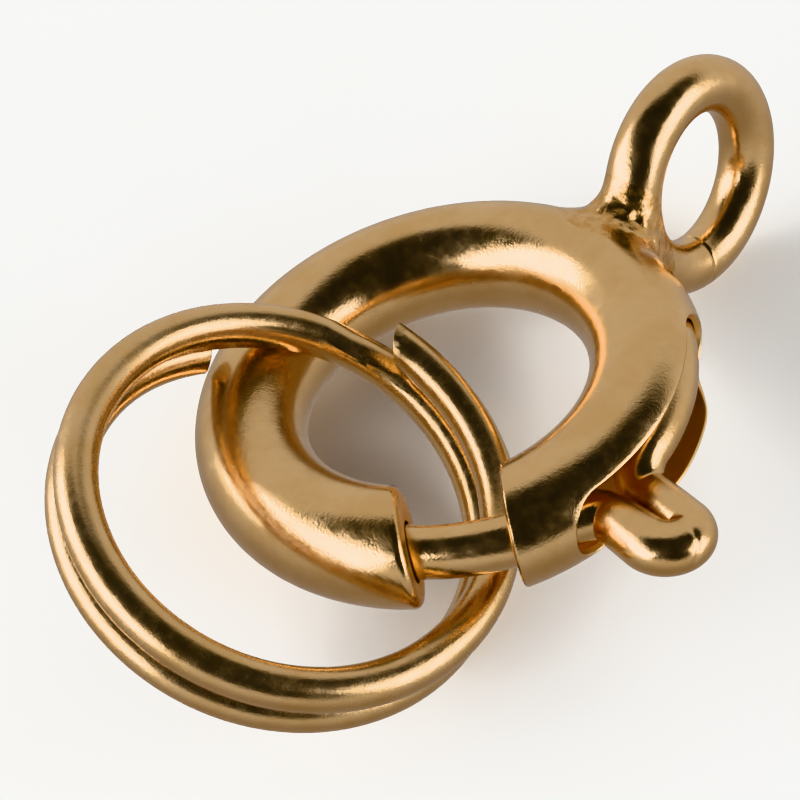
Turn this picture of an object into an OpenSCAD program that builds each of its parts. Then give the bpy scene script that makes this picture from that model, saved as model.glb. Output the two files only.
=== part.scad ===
// A spring ring clasp with the split ring that is linked through its mouth, lying on a table. Millimetres.
// The clasp is drawn flat with its trigger along +X, and lie_down() turns it into the attitude it rests in.

/* [Ring body] */
// Outer diameter of the clasp's ring
clasp_d = 7; // [6.6:0.1:7.6]
// Outer diameter of the bent tube
tube_d = 1.54; // [1.5:0.01:1.58]
// Thickness of the tube's wall
tube_wall = 0.1; // [0.08:0.01:0.11]
// Width of the slot along the outer rim
slot_w = 1.02; // [0.96:0.02:1.06]
// Width of the mouth
mouth_w = 1.28; // [1.2:0.02:1.4]

/* [Eye loop] */
// Clear diameter of the eye loop
eye_inner_d = 1.9; // [1.6:0.1:2.2]
// Diameter of the eye loop's wire
eye_wire_d = 0.82; // [0.7:0.02:0.9]

/* [Bolt and trigger] */
// Diameter of the bolt's wire
bolt_wire_d = 0.68; // [0.6:0.02:0.68]
// Thickness of the same wire where it is pinched into the trigger
trigger_wire_d = 0.62; // [0.54:0.02:0.64]
// How far the trigger stands out of the tube
trigger_reach = 1.17; // [0.9:0.02:1.3]

/* [Split ring] */
// Diameter of the split ring's wire
split_wire_d = 0.55; // [0.5:0.01:0.56]
// Number of turns of the split ring
split_turns = 1.857; // [1.7:0.01:1.95]

/* [Hidden] */
$fn = 96;

tube_r = tube_d / 2;
ring_r = clasp_d / 2 - tube_r;
bore_r = tube_r - tube_wall;
bolt_r = bolt_wire_d / 2;
run_gap = 0.016;

// Angles round the ring, counted from the trigger. Going down from 0 come the slot's end and the mouth.
mouth_at = -35.2;
slot_from = -11.6;
slot_to = 57;
tail_end = 62.6;
stop_from = 150;
stop_to = 156;
bolt_tip = -62;
eye_at = 94.6;
full_turn = 360;
quarter = 90;

// The eye loop stands across the ring, a few degrees off square as it was soldered
eye_r = (eye_inner_d + eye_wire_d) / 2;
eye_sunk = 0.17;
eye_turn = 5;
eye_lean = -4;
eye_x = ring_r + tube_r - eye_sunk + eye_r + eye_wire_d / 2;
solder_base_r = 0.7;
solder_top_r = eye_wire_d / 2 + 0.05;
solder_from = ring_r + sqrt(tube_r * tube_r - solder_base_r * solder_base_r);
solder_to = ring_r + tube_r + 0.23;
solder_reach = 30;

// The bolt is bent flatter than the tube: its own centre lies to one side, so that it crosses the mouth
// near the tube's centreline and comes to the bore's outer wall in the slot
bolt_side = 0.4;
bolt_flatter = 0.07;
bolt_sides = 24;
bolt_steps = 24;
tip_steps = 5;
corner_steps = 12;
fold_steps = 15;
tail_steps = 20;
tail_bend_r = ring_r + bore_r - bolt_r - run_gap;
bolt_bend_r = tail_bend_r + bolt_flatter;

// The trigger is a hairpin of the same wire. It was pinched a little off square: turned toward the mouth,
// lifted, and rolled so that its tail leg is the lower one
trigger_turn = -6;
trigger_lift = 5;
trigger_roll = -12;
trigger_r = trigger_wire_d / 2;
trigger_fold_r = trigger_r + 0.008;
trigger_at = [ring_r + tube_r + trigger_reach - 2 * trigger_r, 0.12, -0.05];
corner_r = 0.48;
corner_pull = 0.56;

// Coil spring between the tail and the stop
spring_wire_r = 0.08;
spring_gap = 0.02;
spring_r = bore_r - spring_wire_r - 0.05;
spring_inset = (spring_wire_r + spring_gap) / ring_r * 180 / PI;
spring_from = tail_end + spring_inset;
spring_to = stop_from - spring_inset;
spring_turns = 12;
spring_sides = 8;
spring_steps = 14;

// Split ring: its size goes with the clasp, its turns stay a hair apart, and it leans on the tube at one point
split_r = ring_r * 1.0062;
split_gap = 0.025;
split_sides = 14;
split_steps = 44;
lean_gap = 0.03;
lean_at = -152.2;
lean_way = [0.551, 0.29, 0.782];
lean_to_centre = [0.7447, -0.6527, -0.1791] * ring_r;
split_heading = 34.1;
split_tilt = 35.35;
split_phase = 131.9;

// Attitude at rest
rest_heading = -94.6;
rest_toward = 23.8;
rest_tilt = 12.4;
rest_lift = [-0.532, 0.59, ring_r * sin(rest_tilt) + tube_r];

module lie_down() {
    translate(rest_lift) rotate([0, 0, rest_heading + rest_toward]) rotate([0, -rest_tilt, 0])
        rotate([0, 0, -rest_toward]) children();
}

// A round bar bent to radius r about the Z axis, from one angle to another
module bent_bar(r, bar_r, from, to) {
    rotate([0, 0, from]) rotate_extrude(angle = to - from) translate([r, 0]) circle(r = bar_r);
}

function polar(r, a) = [r * cos(a), r * sin(a), 0];

// A closed tube of wire through a list of rings of points, all with the same number of sides
module swept(rings) {
    sides = len(rings[0]);
    last = len(rings) - 1;
    points = [for (ring = rings) each ring];
    walls = [for (i = [0 : last - 1], k = [0 : sides - 1]) let (here = i * sides, next = here + sides)
        [here + k, here + (k + 1) % sides, next + (k + 1) % sides, next + k]];
    start_face = [[for (k = [sides - 1 : -1 : 0]) k]];
    end_face = [[for (k = [0 : sides - 1]) last * sides + k]];
    polyhedron(points = points, faces = concat(start_face, walls, end_face), convexity = 8);
}

module tube() {
    difference() {
        bent_bar(ring_r, tube_r, 0, full_turn);
        bent_bar(ring_r, bore_r, stop_to, stop_from + full_turn);
        mouth();
        slot();
    }
}

// Sawn straight across the tube
module mouth() {
    rotate([0, 0, mouth_at]) translate([0, -mouth_w / 2, -tube_d]) cube([clasp_d, mouth_w, 2 * tube_d]);
}

// Milled along the outer rim, with round ends
module slot() {
    round_end = asin(slot_w / 2 / (ring_r + tube_r));
    rotate([0, 0, slot_from + round_end]) rotate_extrude(angle = slot_to - slot_from - 2 * round_end)
        translate([ring_r, -slot_w / 2]) square([tube_d, slot_w]);
    for (a = [slot_from + round_end, slot_to - round_end])
        rotate([0, 0, a]) translate([ring_r, 0, 0]) rotate([0, quarter, 0]) cylinder(h = tube_d, d = slot_w);
}

module eye_loop() {
    rotate([0, 0, eye_at]) difference() {
        union() {
            translate([eye_x, 0, 0]) rotate([0, 0, eye_turn]) rotate([quarter + eye_lean, 0, 0])
                rotate_extrude() translate([eye_r, 0]) circle(r = eye_wire_d / 2);
            translate([solder_from, 0, 0]) rotate([0, quarter, 0])
                cylinder(h = solder_to - solder_from, r1 = solder_base_r, r2 = solder_top_r);
        }
        rotate([0, 0, -solder_reach]) bent_bar(ring_r, (bore_r + tube_r) / 2, 0, 2 * solder_reach);
    }
}

module ring_body() {
    color([0.80, 0.64, 0.40]) lie_down() union() {
        tube();
        eye_loop();
    }
}

function unit(v) = v / norm(v);
function smooth(t) = t * t * (3 - 2 * t);
function bezier(p, t) =
    p[0] * pow(1 - t, 3) + 3 * p[1] * t * pow(1 - t, 2) + 3 * p[2] * t * t * (1 - t) + p[3] * pow(t, 3);

// Points [position, wire radius] along the bolt, from its tip through the trigger to its tail
function bolt_wire() =
    let (turned = [cos(trigger_turn), sin(trigger_turn), 0],
         flat = [-sin(trigger_turn), cos(trigger_turn), 0],
         along = turned * cos(trigger_lift) + [0, 0, sin(trigger_lift)],
         side = flat * cos(trigger_roll) + cross(along, flat) * sin(trigger_roll),
         fold_from = trigger_at - side * trigger_fold_r, fold_to = trigger_at + side * trigger_fold_r,
         middle = [0, bolt_side, 0],
         bolt_leaves = asin((fold_from[1] - corner_r - bolt_side) / bolt_bend_r),
         tail_joins = asin((fold_to[1] + corner_r) / tail_bend_r),
         bolt_top = middle + polar(bolt_bend_r, bolt_leaves), tail_top = polar(tail_bend_r, tail_joins),
         bolt_leg = fold_from - along * (fold_from[0] - bolt_top[0] - corner_r),
         tail_leg = fold_to - along * (fold_to[0] - tail_top[0] - corner_r),
         pull = corner_r * corner_pull,
         bolt_run = polar(pull, bolt_leaves + quarter), tail_run = polar(pull, tail_joins + quarter),
         bolt_corner = [bolt_top, bolt_top + bolt_run, bolt_leg - along * pull, bolt_leg],
         tail_corner = [tail_leg, tail_leg - along * pull, tail_top - tail_run, tail_top],
         tip_turn = bolt_r / bolt_bend_r * 180 / PI)
    concat(
        [for (i = [0 : tip_steps - 1]) let (e = quarter * (1 - (i + 1) / (tip_steps + 1)))
            [middle + polar(bolt_bend_r, bolt_tip - tip_turn * sin(e)), bolt_r * cos(e)]],
        [for (i = [0 : bolt_steps])
            [middle + polar(bolt_bend_r, bolt_tip + (bolt_leaves - bolt_tip) * i / bolt_steps), bolt_r]],
        [for (i = [1 : corner_steps]) let (t = i / corner_steps)
            [bezier(bolt_corner, t), bolt_r + (trigger_r - bolt_r) * smooth(t)]],
        [for (i = [0 : fold_steps]) let (a = quarter * (2 * i / fold_steps - 1))
            [trigger_at + (side * sin(a) + along * cos(a)) * trigger_fold_r, trigger_r]],
        [for (i = [0 : corner_steps]) let (t = i / corner_steps)
            [bezier(tail_corner, t), trigger_r + (bolt_r - trigger_r) * smooth(t)]],
        [for (i = [1 : tail_steps])
            [polar(tail_bend_r, tail_joins + (tail_end - tail_joins) * i / tail_steps), bolt_r]]
    );

// A round section of the wire at point i, square to its run
function wire_section(wire, i) =
    let (before = wire[max(i - 1, 0)][0], after = wire[min(i + 1, len(wire) - 1)][0],
         run = unit(after - before),
         flat = unit(cross(run, [0, 0, 1])), up = cross(flat, run))
    [for (k = [0 : bolt_sides - 1]) let (s = full_turn * k / bolt_sides)
        wire[i][0] + (flat * cos(s) + up * sin(s)) * wire[i][1]];

module bolt() {
    wire = bolt_wire();
    color([0.82, 0.66, 0.42]) lie_down() swept([for (i = [0 : len(wire) - 1]) wire_section(wire, i)]);
}

// The wire of the spring winds round the tube's own centreline
function spring_ring(t) =
    let (a = spring_from + (spring_to - spring_from) * t, turn = full_turn * spring_turns * t,
         outward = [cos(a), sin(a), 0], along = [-sin(a), cos(a), 0],
         winding = outward * cos(turn) + [0, 0, 1] * sin(turn),
         middle = outward * ring_r + winding * spring_r)
    [for (k = [0 : spring_sides - 1]) let (s = full_turn * k / spring_sides)
        middle + (winding * cos(s) - along * sin(s)) * spring_wire_r];

module bolt_spring() {
    steps = spring_turns * spring_steps;
    color([0.70, 0.68, 0.64]) lie_down() swept([for (i = [0 : steps]) spring_ring(i / steps)]);
}

function split_section(t) =
    let (a = full_turn * split_turns * t, pitch = split_wire_d + split_gap, outward = [cos(a), sin(a), 0],
         middle = outward * split_r + [0, 0, pitch * split_turns * (t - 0.5)])
    [for (k = [0 : split_sides - 1]) let (s = full_turn * k / split_sides)
        middle + (outward * cos(s) + [0, 0, 1] * sin(s)) * split_wire_d / 2];

module split_ring() {
    steps = round(split_turns * split_steps);
    lean_off = tube_r + split_wire_d / 2 + lean_gap;
    split_centre = polar(ring_r, lean_at) + lean_way * lean_off + lean_to_centre;
    color([0.80, 0.62, 0.38]) lie_down() translate(split_centre) rotate([0, 0, split_heading])
        rotate([0, split_tilt, 0]) rotate([0, 0, split_phase])
            swept([for (i = [0 : steps]) split_section(i / steps)]);
}

ring_body();
bolt();
bolt_spring();
split_ring();
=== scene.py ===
import bmesh
import bpy
from math import asin, atan2, cos, degrees, exp, hypot, pi, radians, sin, sqrt
from mathutils import Matrix, Vector, noise


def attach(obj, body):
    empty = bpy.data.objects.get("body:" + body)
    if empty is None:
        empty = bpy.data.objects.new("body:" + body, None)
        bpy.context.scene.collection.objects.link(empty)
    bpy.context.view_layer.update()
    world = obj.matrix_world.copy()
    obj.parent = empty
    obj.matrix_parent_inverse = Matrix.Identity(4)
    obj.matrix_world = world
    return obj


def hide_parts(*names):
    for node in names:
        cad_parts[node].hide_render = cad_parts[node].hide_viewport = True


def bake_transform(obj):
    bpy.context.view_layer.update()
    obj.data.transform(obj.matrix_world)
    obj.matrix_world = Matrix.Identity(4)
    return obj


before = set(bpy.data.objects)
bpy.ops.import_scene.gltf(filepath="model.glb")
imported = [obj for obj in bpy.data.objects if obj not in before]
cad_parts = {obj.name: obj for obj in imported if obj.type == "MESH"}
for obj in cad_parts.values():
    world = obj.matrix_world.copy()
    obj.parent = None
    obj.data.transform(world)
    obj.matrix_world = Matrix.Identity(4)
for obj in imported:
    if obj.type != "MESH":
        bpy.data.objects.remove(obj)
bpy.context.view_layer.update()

print("stage 1: the packed clasp is loaded")

# Everything is modelled in millimetres with the clasp flat and its trigger along +X, then laid down at rest
clasp = {
    "ringR": 2.73,          # the tube's own centreline
    "tubeR": 0.77,
    "wall": 0.1,
    "heading": -94.6,       # degrees it is turned on the table
    "toward": 23.8,         # degrees from the trigger to its higher side
    "tilt": 12.4,
    "shift": (-0.532, 0.59),
}
ringR, tubeR = clasp["ringR"], clasp["tubeR"]
boreR = tubeR - clasp["wall"]


def turned(angle, axis):
    return Matrix.Rotation(radians(angle), 4, axis)


layDown = (
    Matrix.Scale(0.001, 4)
    @ Matrix.Translation((*clasp["shift"], ringR * sin(radians(clasp["tilt"])) + tubeR))
    @ turned(clasp["heading"] + clasp["toward"], "Z")
    @ turned(-clasp["tilt"], "Y")
    @ turned(-clasp["toward"], "Z")
)


def polar(r, angle):
    return Vector((r * cos(radians(angle)), r * sin(radians(angle)), 0))


def smoothStep(t):
    t = min(1.0, max(0.0, t))
    return t * t * (3 - 2 * t)


# Selecting and editing go through these
def onlyThis(piece):
    bpy.ops.object.select_all(action="DESELECT")
    piece.select_set(True)
    bpy.context.view_layer.objects.active = piece


def editing(piece, select="VERT"):
    onlyThis(piece)
    bpy.ops.object.mode_set(mode="EDIT")
    bpy.ops.mesh.select_mode(type=select)
    bpy.ops.mesh.select_all(action="DESELECT")


def pick(piece, kind, wanted):      # kind is verts, edges or faces
    mesh = bmesh.from_edit_mesh(piece.data)
    for element in getattr(mesh, kind):
        element.select_set(bool(wanted(element)))
    mesh.select_flush_mode()
    bmesh.update_edit_mesh(piece.data)


def doneEditing():
    bpy.ops.object.mode_set(mode="OBJECT")


def addModifier(piece, kind, **settings):
    onlyThis(piece)
    modifier = piece.modifiers.new(kind.title(), kind)
    for name, value in settings.items():
        setattr(modifier, name, value)
    bpy.ops.object.modifier_apply(modifier=modifier.name)


def reshape(piece, place):          # moves every vertex to where the function puts it
    for v in piece.data.vertices:
        v.co = place(v.co)
    piece.data.update()


# Notes on every vertex how far along its strand of metal and where round it the vertex lies, in millimetres
def layStrands(piece, where):
    strands = piece.data.attributes.new("strand", "FLOAT_VECTOR", "POINT")
    for i, v in enumerate(piece.data.vertices):
        strands.data[i].vector = where(i, v.co)


# Lays a finished piece down with the clasp and hands it to its body
def settle(piece, name, metal, nodes, body="clasp", smoothUnder=38):
    piece.name = piece.data.name = name
    piece.matrix_world = layDown @ piece.matrix_world
    onlyThis(piece)
    bpy.ops.object.transform_apply(location=True, rotation=True, scale=True)
    bpy.ops.object.shade_smooth_by_angle(angle=radians(smoothUnder))
    piece.data.materials.clear()
    piece.data.materials.append(metal)
    if body:
        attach(piece, body)
    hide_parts(*nodes)
    print("   ", name, sum(len(p.vertices) - 2 for p in piece.data.polygons), "triangles")


# A round wire through points of (place, radius), turned into a mesh
def drawWire(name, points, sides):
    path = bpy.data.curves.new(name, "CURVE")
    path.dimensions = "3D"
    path.bevel_depth = 1
    path.bevel_resolution = sides // 2 - 2
    path.use_fill_caps = True
    run = path.splines.new("POLY")
    run.points.add(len(points) - 1)
    for spot, (place, radius) in zip(run.points, points):
        spot.co = (*place, 1)
        spot.radius = radius
    wire = bpy.data.objects.new(name, path)
    bpy.context.collection.objects.link(wire)
    onlyThis(wire)
    bpy.ops.object.convert(target="MESH")
    wire = bpy.context.view_layer.objects.active
    length = [0.0]
    for (a, _), (b, _) in zip(points, points[1:]):
        length.append(length[-1] + (b - a).length)
    usualR = points[len(points) // 2][1]
    capVerts = 2 * sides        # the caps' own vertices come first
    layStrands(wire, lambda i, co: (
        length[(i - capVerts) // sides] if i >= capVerts else 0.0,
        cos(2 * pi * (i % sides) / sides) * usualR,
        sin(2 * pi * (i % sides) / sides) * usualR,
    ))
    editing(wire)
    bpy.ops.mesh.select_all(action="SELECT")
    bpy.ops.mesh.remove_doubles(threshold=0.0005)
    bpy.ops.mesh.normals_make_consistent(inside=False)
    doneEditing()
    return wire


class Wired:        # a shader socket that can be added, multiplied and mixed like a number
    def __init__(self, tree, socket=None):
        self.tree, self.socket = tree, socket

    def node(self, kind, settings=None, sockets=None, out=0):
        made = self.tree.nodes.new(kind)
        for name, value in (settings or {}).items():
            setattr(made, name, value)
        for name, value in (sockets or {}).items():
            if isinstance(value, Wired):
                self.tree.links.new(value.socket, made.inputs[name])
            else:
                made.inputs[name].default_value = value
        return Wired(self.tree, made.outputs[out])

    def sum(self, how, a, b):
        return self.node("ShaderNodeMath", {"operation": how}, {0: a, 1: b})

    def __add__(self, other):
        return self.sum("ADD", self, other)

    def __rsub__(self, other):
        return self.sum("SUBTRACT", other, self)

    def __mul__(self, other):
        return self.sum("MULTIPLY", self, other)

    def __rmul__(self, other):
        return self.sum("MULTIPLY", other, self)

    def band(self, low, high, toLow=0.0, toHigh=1.0):
        return self.node(
            "ShaderNodeMapRange",
            {"interpolation_type": "SMOOTHSTEP"},
            {"Value": self, "From Min": low, "From Max": high, "To Min": toLow, "To Max": toHigh},
        )

    def mixColour(self, a, b):      # self is the share of b
        return self.node("ShaderNodeMix", {"data_type": "RGBA"}, {0: self, 6: a, 7: b}, out=2)

    def noise(self, scale, detail, rough, where=None):      # over the metres of the piece, or over where
        where = where or self.node("ShaderNodeTexCoord", out=3)
        return self.node(
            "ShaderNodeTexNoise", None,
            {"Vector": where, "Scale": scale, "Detail": detail, "Roughness": rough},
        )

    def streak(self, scale, detail, rough, pull):       # noise drawn out along the strand
        strand = self.node("ShaderNodeAttribute", {"attribute_name": "strand"}, out=1)
        pulled = self.node("ShaderNodeMapping", None, {"Vector": strand, "Scale": (pull, 1, 1)})
        return self.noise(scale, detail, rough, pulled)

    def bump(self, height, metres):
        return self.node("ShaderNodeBump", None, {"Height": height, "Strength": 1.0, "Distance": metres})


def newMetal(name):
    metal = bpy.data.materials.new(name)
    metal.use_nodes = True
    tree = metal.node_tree
    shader = next(n for n in tree.nodes if n.type == "BSDF_PRINCIPLED")
    shader.inputs["Metallic"].default_value = 1.0
    return metal, Wired(tree), shader


def plug(wires, shader, **what):
    for name, value in what.items():
        wires.tree.links.new(value.socket, shader.inputs[name.replace("_", " ")])


goldPlate = {
    "colour": (0.685, 0.46, 0.24, 1),
    "deep": (0.64, 0.415, 0.2, 1),          # where the plate is a little redder
    "paintedBoreReflection": (0.9, 0.56, 0.22, 1),     # painted reflection: inside the tube the colour is warmer and brighter, standing in for gold mirrored in gold
    "roughness": (0.17, 0.28),
    "peel": 0.0000011,      # metres, the slow waves of the plate
    "grain": 0.0000018,     # metres, the fine tooth that breaks up the edge of a reflection
    "draw": 0.0000001,      # metres, lines left along the metal by the drawing and the brush
}
drawnWire = {
    "colour": (0.665, 0.45, 0.24, 1),
    "deep": (0.62, 0.4, 0.19, 1),
    # painted reflection: the warmer colour for the inside of a bore
    "paintedBoreReflection": (0.62, 0.38, 0.165, 1),
    "roughness": (0.22, 0.31),
    "peel": 0.0000007,
    "grain": 0.0000009,
    "draw": 0.0000022,
}
plating = {                         # scale, detail and roughness of each noise, then where its band begins and ends
    "cloud": (1500, 4, 0.6),
    "cloudBand": (0.35, 0.68),
    "smear": (5200, 4, 0.65),
    "smearBand": (0.35, 0.75),
    "waves": (8500, 2, 0.55),
    "tooth": (30000, 1, 0.5),
    "lines": (26, 3, 0.7, 0.2),     # and how far they are pulled along the strand
    "boreRougher": 0.32,
}
solderFinish = {
    "colour": (0.66, 0.42, 0.2, 1),
    "deep": (0.56, 0.32, 0.12, 1),
    "lumps": (6500, 4, 0.65),
    "colourBand": (0.35, 0.65),
    "roughBand": (0.3, 0.7, 0.12, 0.28),
    "height": 0.000012,
}
springFinish = {
    "colour": (0.56, 0.54, 0.51, 1),
    "deep": (0.42, 0.4, 0.37, 1),
    "drawn": (5000, 3, 0.6),
    "colourBand": (0.3, 0.7),
    "roughBand": (0.3, 0.7, 0.22, 0.36),
}


# Plated brass: patches of colour, smears of roughness, and a skin of slow waves, fine tooth and drawn lines; inside
# the bore a warmer, brighter colour is painted reflection
def platedMetal(name, look):
    metal, wires, shader = newMetal(name)
    bore = wires.node("ShaderNodeAttribute", {"attribute_name": "bore"}, out=2)     # 1 on the wall inside the tube
    cloud = wires.noise(*plating["cloud"]).band(*plating["cloudBand"])
    smear = wires.noise(*plating["smear"]).band(*plating["smearBand"], *look["roughness"])
    skin = wires.noise(*plating["waves"]) * look["peel"] + wires.noise(*plating["tooth"]) * look["grain"]
    skin = skin + wires.streak(*plating["lines"]) * look["draw"]
    plug(
        wires, shader,
        # the colour inside the bore is painted reflection, the amber of gold mirrored in gold
        Base_Color=bore.mixColour(cloud.mixColour(look["colour"], look["deep"]), look["paintedBoreReflection"]),
        Roughness=smear + bore * plating["boreRougher"],
        Normal=wires.bump(skin, 1.0),
    )
    return metal


def solderedGold():
    look = solderFinish
    metal, wires, shader = newMetal("solderedGold")
    lumps = wires.noise(*look["lumps"])
    plug(
        wires, shader,
        Base_Color=lumps.band(*look["colourBand"]).mixColour(look["colour"], look["deep"]),
        Roughness=lumps.band(*look["roughBand"]),
        Normal=wires.bump(lumps, look["height"]),
    )
    return metal


def springSteel():
    look = springFinish
    metal, wires, shader = newMetal("springSteel")
    drawn = wires.noise(*look["drawn"])
    plug(
        wires, shader,
        Base_Color=drawn.band(*look["colourBand"]).mixColour(look["colour"], look["deep"]),
        Roughness=drawn.band(*look["roughBand"]),
    )
    return metal


gold, satin = platedMetal("polishedGold", goldPlate), platedMetal("satinGold", drawnWire)
solder, steel = solderedGold(), springSteel()
print("stage 2: finishes made")

# The hollow ring starts as a flat sheet, x in degrees round the ring from the mouth and y in degrees round the tube
ringTube = {
    "mouthAt": -35.2,
    "mouthHalf": 0.64,
    "same": 0.01,           # places on the sheet that are nearer than this are one
    "mouthFade": 9.0,       # degrees over which the columns turn from the saw cut to the ring's own
    "columns": 200,
    "endColumn": 4.2,       # the first and last columns are wide enough, in degrees, for the rounded ends
    "rows": 80,
    "leftRound": 0.13,
    "rightRound": 0.06,
    "innerRound": 0.02,
    "slotHalf": 0.51,
    "lowerLip": 0.1,        # how much nearer to the bolt the lower lip lies
    "lipThin": 0.7,         # share of the wall that was milled away along it
    "lipFade": 16.0,        # degrees over which it begins and ends
    "slotFrom": -11.6,
    "slotTo": 57.0,
    "slotWindow": (3, 49, 26, 54),   # columns and rows taken out round the slot
    "slotLoops": 5,
    "slotRound": 0.022,
    "slotInnerRound": 0.012,
    "bulge": 0.12,          # the slot's lower lip was pushed outward when it was milled
    "bulgeFrom": 34.0,
    "bulgeTo": 92.0,
    "bulgeFade": 22.0,
    "bulgeDown": -105.0,    # it grows from here, round the tube, up to the lip
    "bulgeUp": -41.0,
    "bulgeOver": -20.0,     # and the upper lip has none of it
}


def onSheet(x, y):          # a place on the sheet as a key
    return round(x, 2), round(y, 2)


def inBore(co):
    return co.z < -clasp["wall"] / 2


# The outline of the slot on the sheet, point by point beside the edge of the window round it
def slotOutline(along, across):
    part = ringTube
    half = part["slotHalf"]
    rimV = asin(half / tubeR)
    endTurn = degrees(asin(half / (ringR + tubeR)))
    startX = part["slotFrom"] - part["mouthAt"] + endTurn
    endX = part["slotTo"] - part["mouthAt"] - endTurn

    def roundEnd(middle, phi):
        v = asin(half * sin(phi) / tubeR)
        return middle + degrees(asin(half * cos(phi) / (ringR + tubeR * cos(v)))), degrees(v)

    def alongTop(t):
        arc, reach = pi / 4 * half, ringR + tubeR * cos(rimV)
        run = radians(endX - startX) * reach
        d = t * (2 * arc + run)
        if d < arc:
            return roundEnd(startX, 0.75 * pi - d / half)
        if d < arc + run:
            return startX + degrees((d - arc) / reach), degrees(rimV)
        return roundEnd(endX, pi / 2 - (d - arc - run) / half)

    def raised(x, y):
        fade = part["lipFade"]
        there = smoothStep((x - startX) / fade) * smoothStep((endX - x) / fade)
        return x, y + degrees(part["lowerLip"] / tubeR) * there

    rim = [raised(x, -y) for x, y in (alongTop(i / along) for i in range(along))]
    rim += [roundEnd(endX, pi / 2 * (i / across) - pi / 4) for i in range(across)]
    rim += [alongTop(1 - i / along) for i in range(along)]
    rim += [roundEnd(startX, 0.75 * pi + pi / 2 * (i / across)) for i in range(across)]
    return rim


def ringSheet():
    part = ringTube
    edge = degrees(asin(part["mouthHalf"] / ringR))
    columns, rows = part["columns"], part["rows"]
    bpy.ops.object.select_all(action="DESELECT")
    bpy.ops.mesh.primitive_grid_add(x_subdivisions=columns, y_subdivisions=rows, size=1, location=(0.5, 0.5, 0))
    sheet = bpy.context.active_object
    bpy.ops.object.transform_apply(location=True, rotation=True, scale=True)
    inner = (360 - 2 * edge - 2 * part["endColumn"]) / (columns - 2)

    def columnX(i):
        if i in (0, columns):
            return edge if i == 0 else 360 - edge
        return edge + part["endColumn"] + inner * (i - 1)

    def rowY(j):
        return -180 + 360 * j / rows

    reshape(sheet, lambda co: Vector((columnX(round(co.x * columns)), rowY(round(co.y * rows)), 0)))

    # a window is cut out and filled with loops that run from its square edge to the slot's round one
    firstCol, lastCol, firstRow, lastRow = part["slotWindow"]
    x0, x1, y0, y1 = columnX(firstCol), columnX(lastCol), rowY(firstRow), rowY(lastRow)
    window = [(columnX(i), y0) for i in range(firstCol, lastCol)]
    window += [(x1, rowY(j)) for j in range(firstRow, lastRow)]
    window += [(columnX(i), y1) for i in range(lastCol, firstCol, -1)]
    window += [(x0, rowY(j)) for j in range(lastRow, firstRow, -1)]
    rim = slotOutline(lastCol - firstCol, lastRow - firstRow)

    def inWindow(co, spare):
        return x0 - spare < co.x < x1 + spare and y0 - spare < co.y < y1 + spare

    editing(sheet, "FACE")
    pick(sheet, "faces", lambda f: inWindow(f.calc_center_median(), 0))
    bpy.ops.mesh.delete(type="FACE")
    bpy.ops.mesh.select_mode(type="EDGE")
    pick(sheet, "edges", lambda e: e.is_boundary and all(inWindow(v.co, part["same"]) for v in e.verts))
    near = {onSheet(x, y): k for k, (x, y) in enumerate(window)}
    for loop in range(1, part["slotLoops"] + 1):
        t = loop / part["slotLoops"]
        bpy.ops.mesh.extrude_region()
        mesh = bmesh.from_edit_mesh(sheet.data)
        here = {}
        for v in mesh.verts:
            if v.select:
                k = near[onSheet(v.co.x, v.co.y)]
                (ax, ay), (bx, by) = window[k], rim[k]
                v.co = (ax + (bx - ax) * t, ay + (by - ay) * t, 0)
                here[onSheet(v.co.x, v.co.y)] = k
        bmesh.update_edit_mesh(sheet.data)
        near = here
    bpy.ops.mesh.select_all(action="SELECT")
    bpy.ops.mesh.normals_make_consistent(inside=False)
    doneEditing()
    if sheet.data.polygons[0].normal.z < 0:
        sheet.data.flip_normals()
    addModifier(sheet, "SOLIDIFY", thickness=clasp["wall"], offset=-1, use_rim=True)

    # the two long sides of the sheet meet at the tube's inner side, so the rim between them goes
    editing(sheet, "FACE")
    pick(sheet, "faces", lambda f: abs(f.normal.y) > 0.5 and abs(abs(f.calc_center_median().y) - 180) < 1)
    bpy.ops.mesh.delete(type="FACE")
    doneEditing()
    return sheet, edge, {onSheet(x, y) for x, y in rim}


# The two ends of the tube were burnished inward: each closes toward the bolt that runs through it
tubeEnds = {
    "left": {"hole": 0.385, "middle": 0.073},
    "right": {"hole": 0.5, "middle": 0.16},
}


def rolled(co, edge):
    part = ringTube
    v, bar, middle = radians(co.y), tubeR + co.z, ringR
    near = min(co.x, 360 - co.x) - edge
    if inBore(co) and near < part["same"]:
        end = tubeEnds["left" if co.x > 180 else "right"]
        bar, middle = end["hole"], ringR + end["middle"]
    down, fade = 0, part["bulgeFade"]
    if co.y < part["bulgeOver"]:
        down = smoothStep((co.y - part["bulgeDown"]) / (part["bulgeUp"] - part["bulgeDown"]))
    there = smoothStep((co.x - part["bulgeFrom"]) / fade) * smoothStep((part["bulgeTo"] - co.x) / fade)
    bar -= co.z * part["lipThin"] * down * down * there
    out = middle + bar * cos(v) + part["bulge"] * down * there
    shift = (degrees(asin(part["mouthHalf"] / out)) - edge) * (1 - smoothStep(near / part["mouthFade"]))
    angle = radians(part["mouthAt"] + co.x + (shift if co.x < 180 else -shift))
    return Vector((out * cos(angle), out * sin(angle), bar * sin(v)))


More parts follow.
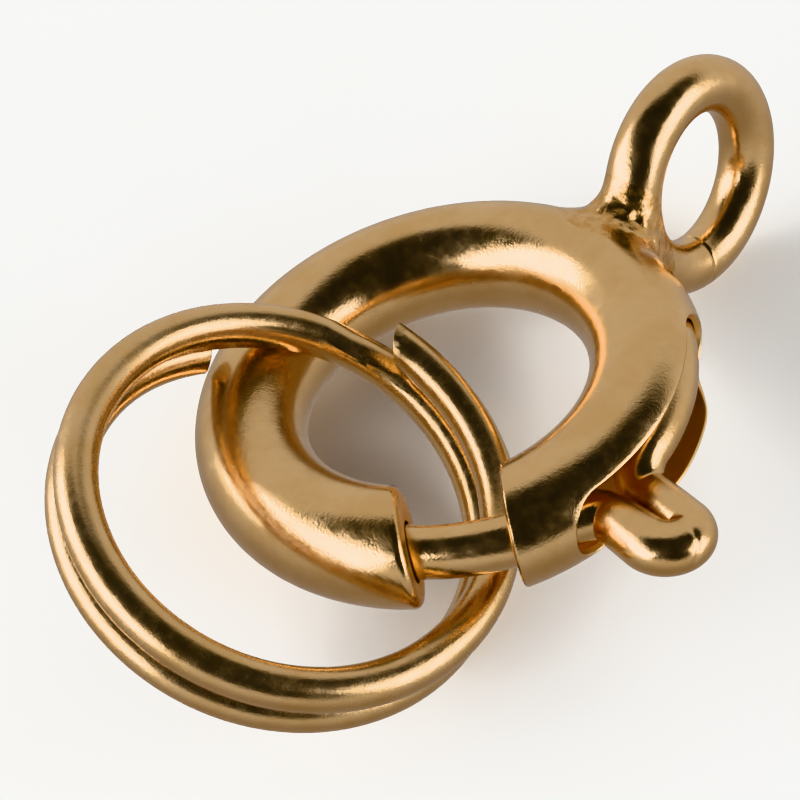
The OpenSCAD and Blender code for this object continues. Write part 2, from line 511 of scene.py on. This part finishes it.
def makeRingTube():
    part = ringTube
    sheet, edge, rim = ringSheet()
    spots = {}
    for v in sheet.data.vertices:
        wall = "Inner" if inBore(v.co) else "Outer"
        if min(v.co.x, 360 - v.co.x) - edge < part["same"]:
            spots[v.index] = ("left" if v.co.x > 180 else "right") + wall
        elif onSheet(v.co.x, v.co.y) in rim:
            spots[v.index] = "slot" + wall
    edges = {               # how wide each edge is rounded, and in how many steps
        "leftOuter": (part["leftRound"], 7),
        "leftInner": (part["innerRound"], 2),
        "rightOuter": (part["rightRound"], 5),
        "rightInner": (part["innerRound"], 2),
        "slotOuter": (part["slotRound"], 3),
        "slotInner": (part["slotInnerRound"], 2),
    }
    for edgeName in edges:
        chosen = [i for i, spot in spots.items() if spot == edgeName]
        sheet.vertex_groups.new(name=edgeName).add(chosen, 1.0, "REPLACE")
    layStrands(sheet, lambda i, co: (
        radians(co.x) * ringR, (tubeR + co.z) * cos(radians(co.y)), (tubeR + co.z) * sin(radians(co.y)),
    ))
    bore = sheet.data.attributes.new("bore", "FLOAT", "POINT")
    for i, v in enumerate(sheet.data.vertices):
        bore.data[i].value = 1.0 if inBore(v.co) else 0.0
    reshape(sheet, lambda co: rolled(co, edge))
    editing(sheet)
    bpy.ops.mesh.select_all(action="SELECT")
    bpy.ops.mesh.remove_doubles(threshold=0.0004)
    for edgeName, (width, steps) in edges.items():
        bpy.ops.mesh.select_mode(type="VERT")
        bpy.ops.mesh.select_all(action="DESELECT")
        sheet.vertex_groups.active = sheet.vertex_groups[edgeName]
        bpy.ops.object.vertex_group_select()
        bpy.ops.mesh.bevel(offset=width, segments=steps, profile=0.5, clamp_overlap=False)
    doneEditing()
    sheet.vertex_groups.clear()
    settle(sheet, "ringTube", gold, ["ring_body"])


makeRingTube()
print("stage 3: the ring is rolled, cut and slotted")


eyeLoop = {
    "loopR": 1.36,
    "wireR": 0.41,
    "at": 94.6,             # degrees round the ring
    "out": 5.1,             # from the ring's own middle
    "turn": 5,
    "lean": 86,
    "seam": 254.0,          # where the wire's two ends meet
    "seamWide": 0.4,
    "seamDeep": 0.022,
    "columns": 240,
    "sides": 48,
}
loopPlace = (
    turned(eyeLoop["at"], "Z")
    @ Matrix.Translation((eyeLoop["out"], 0, 0))
    @ turned(eyeLoop["turn"], "Z")
    @ turned(eyeLoop["lean"], "X")
)


def outOfBore(p):       # nothing soldered on goes further in than the middle of the tube's wall
    middle = Vector((p.x, p.y, 0)).normalized() * ringR
    deep = tubeR - clasp["wall"] / 2 - (p - middle).length
    return p + (p - middle).normalized() * deep if deep > 0 else p


def makeEyeLoop():
    part = eyeLoop
    bpy.ops.object.select_all(action="DESELECT")
    bpy.ops.mesh.primitive_torus_add(
        major_radius=part["loopR"], minor_radius=part["wireR"],
        major_segments=part["columns"], minor_segments=part["sides"],
    )
    loop = bpy.context.active_object
    seam = round(part["seam"] / 360 * part["columns"]) * 360 / part["columns"]
    away = Vector((cos(radians(seam)), sin(radians(seam)), 0))
    onSeam = cos(radians(part["seamWide"]))
    editing(loop)
    pick(loop, "verts", lambda v: Vector((v.co.x, v.co.y, 0)).normalized().dot(away) > onSeam)
    middle = away * part["loopR"]
    small = 1 - part["seamDeep"] / part["wireR"]
    bpy.ops.transform.resize(value=(small, small, small), center_override=middle)
    doneEditing()
    reshape(loop, lambda co: loopPlace.inverted() @ outOfBore(loopPlace @ co))
    layStrands(loop, lambda i, co: (atan2(co.y, co.x) * part["loopR"], hypot(co.x, co.y) - part["loopR"], co.z))
    loop.matrix_world = loopPlace
    settle(loop, "eyeLoop", gold, ["ring_body"])


solderCollar = {
    "at": 93.4,             # the middle that its skin is cast toward, just inside the tube's outer wall
    "inside": 0.02,
    "radius": 1.25,
    "blend": 0.66,          # how far the solder has crept up the two surfaces
    "sunk": 0.002,          # beyond the fillet the skin goes under the metal
    "lumps": 0.026,
    "lumpScale": 5.5,
    "skin": 0.03,
    "grid": (260, 150),
    "steps": 50,
    "stride": 0.85,         # share of the depth gone in one step
    "near": 0.0006,
    "core": 0.04,
}


def makeSolder():
    part = solderCollar
    toLoop = loopPlace.inverted()
    start = polar(ringR + tubeR - part["inside"], part["at"])

    def surfaces(p):        # how far the point is outside the tube and outside the loop
        q = toLoop @ p
        onLoop = hypot(hypot(q.x, q.y) - eyeLoop["loopR"], q.z) - eyeLoop["wireR"]
        return hypot(hypot(p.x, p.y) - ringR, p.z) - tubeR, onLoop

    def depth(p):
        onTube, onLoop = surfaces(p)
        mix = max(part["blend"] - abs(onTube - onLoop), 0) / part["blend"]
        lump = part["lumps"] * noise.noise(p * part["lumpScale"]) * mix
        joined = min(onTube, onLoop) - mix * mix * part["blend"] / 4 + lump
        return joined + part["sunk"] * (1 - min(1, 10 * mix))

    bpy.ops.object.select_all(action="DESELECT")
    across, down = part["grid"]
    bpy.ops.mesh.primitive_uv_sphere_add(segments=across, ring_count=down, radius=1)
    collar = bpy.context.active_object

    def cast(co):
        way, far = co.normalized(), part["radius"]
        for _ in range(part["steps"]):
            here = depth(start + way * far)
            if here < part["near"] or far < part["core"]:
                break
            far -= here * part["stride"]
        return start + way * max(far, part["core"])

    reshape(collar, cast)
    editing(collar, "FACE")
    pick(collar, "faces", lambda f: any(min(surfaces(v.co)) < -part["skin"] for v in f.verts))
    bpy.ops.mesh.delete(type="FACE")        # what lies deep in the tube or the loop
    doneEditing()
    addModifier(collar, "SOLIDIFY", thickness=part["skin"], offset=-1, use_rim=True)
    settle(collar, "solderCollar", solder, ["ring_body"], smoothUnder=75)


makeEyeLoop()
makeSolder()
print("stage 4: the eye loop is soldered on")


boltWire = {
    "wireR": 0.34,
    "pinchedR": 0.31,       # in the trigger
    "gap": 0.016,           # between the tail and the bore
    "side": 0.4,            # how far the bolt's own centre lies beside the ring's
    "flatter": 0.07,
    "tip": -62.0,
    "tailEnd": 62.6,
    "reach": 1.17,          # how far the trigger stands out of the tube, and how it is turned, lifted and rolled
    "turn": -6.0,
    "lift": 5.0,
    "roll": -12.0,
    "at": (0.12, -0.05),
    "corner": 0.48,         # the bends into the trigger
    "pull": 0.56,
    "steps": {"tip": 12, "bolt": 60, "corner": 30, "fold": 72, "tail": 40},
    "sides": 64,
    "slit": 0.008,          # half the slit between the two legs
    "squeeze": (4.2, 2.2),  # how square the bolt's leg and the tail's leg were pressed
    "squeezeTurn": 2.4,     # how gently the one goes over into the other round the fold
    "pressedTo": 0.74,      # how far back from the fold they touch
    "pressFade": 0.25,
    "spare": 1.02,
    "creaseFrom": -3.0,     # degrees round the fold where a crease crosses it, and how far that leans
    "creaseLean": 14.0,
    "creaseTop": 0.27,
    "creaseLow": -0.1,      # it fades out over this height, from here up
    "creaseFade": 0.12,
    "creaseDeep": 0.01,
    "creaseWide": 0.04,
}


def bezier(p, t):
    return p[0] * (1 - t) ** 3 + p[1] * 3 * t * (1 - t) ** 2 + p[2] * 3 * t * t * (1 - t) + p[3] * t ** 3


# The trigger's own directions: its middle, along it, across its two legs, and up
def triggerFrame():
    part = boltWire
    flat = Vector((-sin(radians(part["turn"])), cos(radians(part["turn"])), 0))
    ahead = Vector((flat.y, -flat.x, 0))
    along = ahead * cos(radians(part["lift"])) + Vector((0, 0, sin(radians(part["lift"]))))
    side = flat * cos(radians(part["roll"])) + along.cross(flat) * sin(radians(part["roll"]))
    fold = Vector((ringR + tubeR + part["reach"] - 2 * part["pinchedR"], *part["at"]))
    return fold, along, side, along.cross(side)


def boltPath():
    part = boltWire
    wireR, pinchedR, steps = part["wireR"], part["pinchedR"], part["steps"]
    tailBend = ringR + boreR - wireR - part["gap"]
    boltBend = tailBend + part["flatter"]
    fold, along, side, _ = triggerFrame()
    foldR = pinchedR + part["slit"]
    middle = Vector((0, part["side"], 0))
    corner = part["corner"]
    foldFrom, foldTo = fold - side * foldR, fold + side * foldR
    leaves = degrees(asin((foldFrom.y - corner - part["side"]) / boltBend))
    joins = degrees(asin((foldTo.y + corner) / tailBend))
    boltTop, tailTop = middle + polar(boltBend, leaves), polar(tailBend, joins)
    boltLeg = foldFrom - along * (foldFrom.x - boltTop.x - corner)
    tailLeg = foldTo - along * (foldTo.x - tailTop.x - corner)
    pull = corner * part["pull"]
    boltCorner = [boltTop, boltTop + polar(pull, leaves + 90), boltLeg - along * pull, boltLeg]
    tailCorner = [tailLeg, tailLeg - along * pull, tailTop - polar(pull, joins + 90), tailTop]
    tipTurn = degrees(wireR / boltBend)
    points = []
    for i in range(steps["tip"]):
        e = pi / 2 * (1 - (i + 1) / (steps["tip"] + 1))
        points.append((middle + polar(boltBend, part["tip"] - tipTurn * sin(e)), wireR * cos(e)))
    for i in range(steps["bolt"] + 1):
        angle = part["tip"] + (leaves - part["tip"]) * i / steps["bolt"]
        points.append((middle + polar(boltBend, angle), wireR))
    for i in range(1, steps["corner"] + 1):
        t = i / steps["corner"]
        points.append((bezier(boltCorner, t), wireR + (pinchedR - wireR) * smoothStep(t)))
    for i in range(steps["fold"] + 1):
        a = pi / 2 * (2 * i / steps["fold"] - 1)
        points.append((fold + (side * sin(a) + along * cos(a)) * foldR, pinchedR))
    for i in range(steps["corner"] + 1):
        t = i / steps["corner"]
        points.append((bezier(tailCorner, t), pinchedR + (wireR - pinchedR) * smoothStep(t)))
    for i in range(1, steps["tail"] + 1):
        angle = joins + (part["tailEnd"] - joins) * i / steps["tail"]
        points.append((polar(tailBend, angle), wireR))
    return points


# Presses the legs of the trigger together, so that the slit between them is narrow
def pressLegs(piece):
    part = boltWire
    fold, along, side, up = triggerFrame()
    foldR, thick = part["pinchedR"] + part["slit"], part["pinchedR"]

    def press(co):
        back = co - fold
        a, x, h = back.dot(along), back.dot(side), back.dot(up)
        inward = foldR - (abs(x) if a < 0 else hypot(a, x))
        beyond = a < -part["pressedTo"] or a > foldR
        if beyond or inward < 0 or inward > thick or abs(h) > thick * part["spare"]:
            return co
        share = smoothStep(0.5 + x / (part["squeezeTurn"] * max(a, 0) + 0.01))
        power = part["squeeze"][0] * (1 - share) + part["squeeze"][1] * share
        full = thick * (1 - (inward / thick) ** power) ** (1 / power)
        rounded = sqrt(max(0.0, thick ** 2 - inward ** 2))
        amount = smoothStep((a + part["pressedTo"]) / part["pressFade"])
        amount = amount * min(1, abs(h) / max(rounded, 0.001))
        return co + up * ((full - rounded) * amount * (1 if h > 0 else -1))

    def crease(co):
        back = co - fold
        a, x, h = back.dot(along), back.dot(side), back.dot(up)
        out = hypot(a, x)
        if a < 0 or h < part["creaseLow"] or out < foldR:
            return co
        turn = atan2(x, a)
        off = (turn - radians(part["creaseFrom"] + part["creaseLean"] * h / part["creaseTop"])) * out
        wireMiddle = fold + (along * cos(turn) + side * sin(turn)) * foldR
        deep = part["creaseDeep"] * exp(-(off / part["creaseWide"]) ** 2)
        deep = deep * smoothStep((h - part["creaseLow"]) / part["creaseFade"])
        return co + (wireMiddle - co).normalized() * deep

    reshape(piece, press)
    reshape(piece, crease)


bolt = drawWire("bolt", boltPath(), boltWire["sides"])
pressLegs(bolt)
settle(bolt, "boltAndTrigger", gold, ["bolt"], body="bolt", smoothUnder=50)
print("stage 5: the bolt is bent")


coil = {
    "wireR": 0.08,
    "gap": 0.02,            # to the bolt's tail and to the stop
    "clear": 0.05,          # to the wall of the bore
    "turns": 12,
    "from": 62.6,
    "to": 150.0,
    "steps": 28,            # to a turn
    "sides": 12,
}


def coilPath():
    inset = degrees((coil["wireR"] + coil["gap"]) / ringR)
    first, last = coil["from"] + inset, coil["to"] - inset
    coilR = boreR - coil["wireR"] - coil["clear"]
    points = []
    count = coil["turns"] * coil["steps"]
    for i in range(count + 1):
        t = i / count
        outward, wound = polar(1, first + (last - first) * t), 2 * pi * coil["turns"] * t
        winding = outward * cos(wound) + Vector((0, 0, sin(wound)))
        points.append((outward * ringR + winding * coilR, coil["wireR"]))
    return points, first, last


coilPoints, coilFirst, coilLast = coilPath()
spring = drawWire("spring", coilPoints, coil["sides"])
settle(spring, "coilSpring", steel, ["bolt_spring"], body=None)
layDown @ polar(ringR, coilLast)
layDown @ polar(ringR, coilFirst)
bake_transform(spring)
print("stage 6: the spring is wound")


splitRing = {
    "wireR": 0.275,
    "ringR": 2.747,
    "turns": 1.857,
    "gap": 0.025,           # between its turns
    "steps": 150,           # to a turn
    "sides": 40,
    "leanAt": -152.2,       # degrees round the clasp to where it leans on the tube
    "leanWay": (0.551, 0.29, 0.782),
    "leanGap": 0.03,
    "toCentre": (0.7447, -0.6527, -0.1791),
    "heading": 34.1,
    "tilt": 35.35,
    "phase": 131.9,
    "sharp": 60,            # degrees, the edges at the ends
    "endRound": 0.015,
    "endReach": 0.9,        # what is nearer to an end moves with its cut, less and less over the fade
    "endFade": 0.5,
    "splayReach": 2.2,
    "sameTurn": 0.7,        # in pitches, what is higher or lower is on another turn
    "ends": (               # turns along the wire, how oblique its cut is outward and across, how much longer it is
        {"at": 0.0, "lean": (0.32, -0.02), "longer": 0.06, "splay": -0.12},
        {"at": 1.0, "lean": (0.23, 0.65), "longer": -0.05, "splay": 0.0},
    ),
}


def makeSplitRing():
    part = splitRing
    off = tubeR + part["wireR"] + part["leanGap"]
    centre = polar(ringR, part["leanAt"]) + Vector(part["leanWay"]) * off + Vector(part["toCentre"]) * ringR
    count = round(part["turns"] * part["steps"])
    pitch = 2 * part["wireR"] + part["gap"]
    points = []
    for i in range(count + 1):
        t = i / count
        spot = polar(part["ringR"], 360 * part["turns"] * t)
        points.append((spot + Vector((0, 0, pitch * part["turns"] * (t - 0.5))), part["wireR"]))
    ring = drawWire("split", points, part["sides"])
    editing(ring, "EDGE")
    sharp = radians(part["sharp"])
    pick(ring, "edges", lambda e: len(e.link_faces) == 2 and e.calc_face_angle(0) > sharp)
    bpy.ops.mesh.bevel(offset=part["endRound"], segments=3, clamp_overlap=False)
    doneEditing()

    def cut(co):
        for end in part["ends"]:
            angle = 360 * part["turns"] * end["at"]
            back = co - polar(part["ringR"], angle) - Vector((0, 0, pitch * part["turns"] * (end["at"] - 0.5)))
            ahead, radial = polar(1 if end["at"] else -1, angle + 90), polar(1, angle)
            if abs(back.z) > pitch * part["sameTurn"]:
                continue
            share = 0
            if back.length < part["endReach"]:
                share = smoothStep(1 + back.dot(ahead) / part["endFade"])
            longer = end["longer"] + back.dot(radial) * end["lean"][0] + back.z * end["lean"][1]
            apart = smoothStep(1 - back.length / part["splayReach"])
            co = co + ahead * longer * share + Vector((0, 0, end["splay"])) * apart
        return co

    reshape(ring, cut)
    ring.matrix_world = (
        Matrix.Translation(centre) @ turned(part["heading"], "Z") @ turned(part["tilt"], "Y")
        @ turned(part["phase"], "Z")
    )
    settle(ring, "splitRing", satin, ["split_ring"])


makeSplitRing()
print("stage 7: the split ring is linked through the mouth")


table = {
    "size": 3.0,
    "cells": 8,
    "colour": (0.9, 0.895, 0.885, 1),
    "fleck": (0.87, 0.865, 0.85, 1),
    "flecks": (300, 2, 0.5),
    "fleckBand": (0.3, 0.7),
    "roughness": 0.9,
}


def makeTable():
    bpy.ops.object.select_all(action="DESELECT")
    cells = table["cells"]
    bpy.ops.mesh.primitive_grid_add(x_subdivisions=cells, y_subdivisions=cells, size=table["size"])
    top = bpy.context.active_object
    top.name = "table"
    paper = bpy.data.materials.new("matteTable")
    paper.use_nodes = True
    wires = Wired(paper.node_tree)
    shader = next(n for n in paper.node_tree.nodes if n.type == "BSDF_PRINCIPLED")
    shader.inputs["Roughness"].default_value = table["roughness"]
    flecks = wires.noise(*table["flecks"]).band(*table["fleckBand"])
    plug(wires, shader, Base_Color=flecks.mixColour(table["colour"], table["fleck"]))
    top.data.materials.append(paper)
    top.visible_glossy = False      # the undersides mirror the room's own lower tones


studio = {
    "room": (0.78, 0.765, 0.735, 1),     # pale walls all round
    "under": (0.42, 0.385, 0.36, 1),     # what the undersides mirror
    "underFrom": (-0.75, 0.1),           # sine of the heights between which it takes over
    "dark": (0.03, 0.037, 0.052, 1),     # the unlit side over the lens
    "darkParts": (                       # degrees round and up, then where the walls fall into the dark
        {"at": (195, 62), "wide": (52, 43)},
        {"at": (250, 43), "wide": (44, 30)},
        {"at": (318, 60), "wide": (37, 21)},
    ),
    "lampFar": 0.2,
    "lampColour": (0.985, 0.99, 0.985),
    "lamps": (                           # how bright each one looks in the metal, and how much it gives the table
        {"name": "keyPanel", "turn": 151, "up": 21, "size": (0.31, 0.125), "onMetal": 7.5, "onTable": 14},
        {"name": "sidePanel", "turn": -60, "up": 18, "size": (0.14, 0.125), "onMetal": 5, "onTable": 12},
    ),
}


def direction(turn, up):
    turn, up = radians(turn), radians(up)
    return Vector((cos(turn) * cos(up), sin(turn) * cos(up), sin(up)))


def makeRoom():
    world = bpy.data.worlds.new("studio")
    world.use_nodes = True
    bpy.context.scene.world = world
    tree = world.node_tree
    back = next(n for n in tree.nodes if n.type == "BACKGROUND")
    wires = Wired(tree)
    way = wires.node("ShaderNodeTexCoord", out=0)
    light = 1.0
    for part in studio["darkParts"]:
        toward = wires.node(
            "ShaderNodeVectorMath", {"operation": "DOT_PRODUCT"}, {0: way, 1: direction(*part["at"])}, out=1,
        )
        light = light * toward.band(*(cos(radians(a)) for a in part["wide"]), 1.0, 0.0)
    dark = 1.0 - light
    height = wires.node("ShaderNodeSeparateXYZ", None, {0: way}, out=2)
    walls = height.band(*studio["underFrom"]).mixColour(studio["under"], studio["room"])
    tree.links.new(dark.mixColour(walls, studio["dark"]).socket, back.inputs["Color"])
    back.inputs["Strength"].default_value = 1.0


# Each lamp is made twice, once for what the metal mirrors and once for what falls on the table
def makeLamps():
    for lamp in studio["lamps"]:
        place = direction(lamp["turn"], lamp["up"]) * studio["lampFar"]
        for use in ("onMetal", "onTable"):
            bpy.ops.object.select_all(action="DESELECT")
            bpy.ops.object.light_add(type="AREA", location=place)
            light = bpy.context.active_object
            light.name = lamp["name"] + use[2:]
            light.rotation_euler = place.to_track_quat("Z", "Y").to_euler()
            light.data.shape = "RECTANGLE"
            light.data.size, light.data.size_y = lamp["size"]
            light.data.energy = lamp[use] * pi * lamp["size"][0] * lamp["size"][1]
            light.data.color = studio["lampColour"]
            light.visible_camera = False
            light.visible_glossy = use == "onMetal"
            light.visible_diffuse = use == "onTable"


view = {
    "place": (-10.88055, -10.65674, 19.45657),     # millimetres
    "right": (0.717398, -0.694459, -0.055377),
    "up": (0.559504, 0.526973, 0.63973),
    "back": (-0.415084, -0.489925, 0.766602),
    "lens": 79.243,
    "film": 36,
    "clip": 0.001,      # metres, it stands close
}


def makeCamera():
    bpy.ops.object.select_all(action="DESELECT")
    bpy.ops.object.camera_add()
    camera = bpy.context.active_object
    turn = Matrix((view["right"], view["up"], view["back"])).transposed()
    camera.matrix_world = Matrix.Translation(Vector(view["place"]) * 0.001) @ turn.to_4x4()
    camera.data.sensor_width = view["film"]
    camera.data.lens = view["lens"]
    camera.data.clip_start = view["clip"]
    bpy.context.scene.camera = camera


makeTable()
makeRoom()
makeLamps()
makeCamera()
bpy.context.scene.cycles.glossy_bounces = 10      # gold seen in gold in gold
bpy.context.scene.view_settings.view_transform = "Khronos PBR Neutral"
print("stage 8: table, light and camera are set")
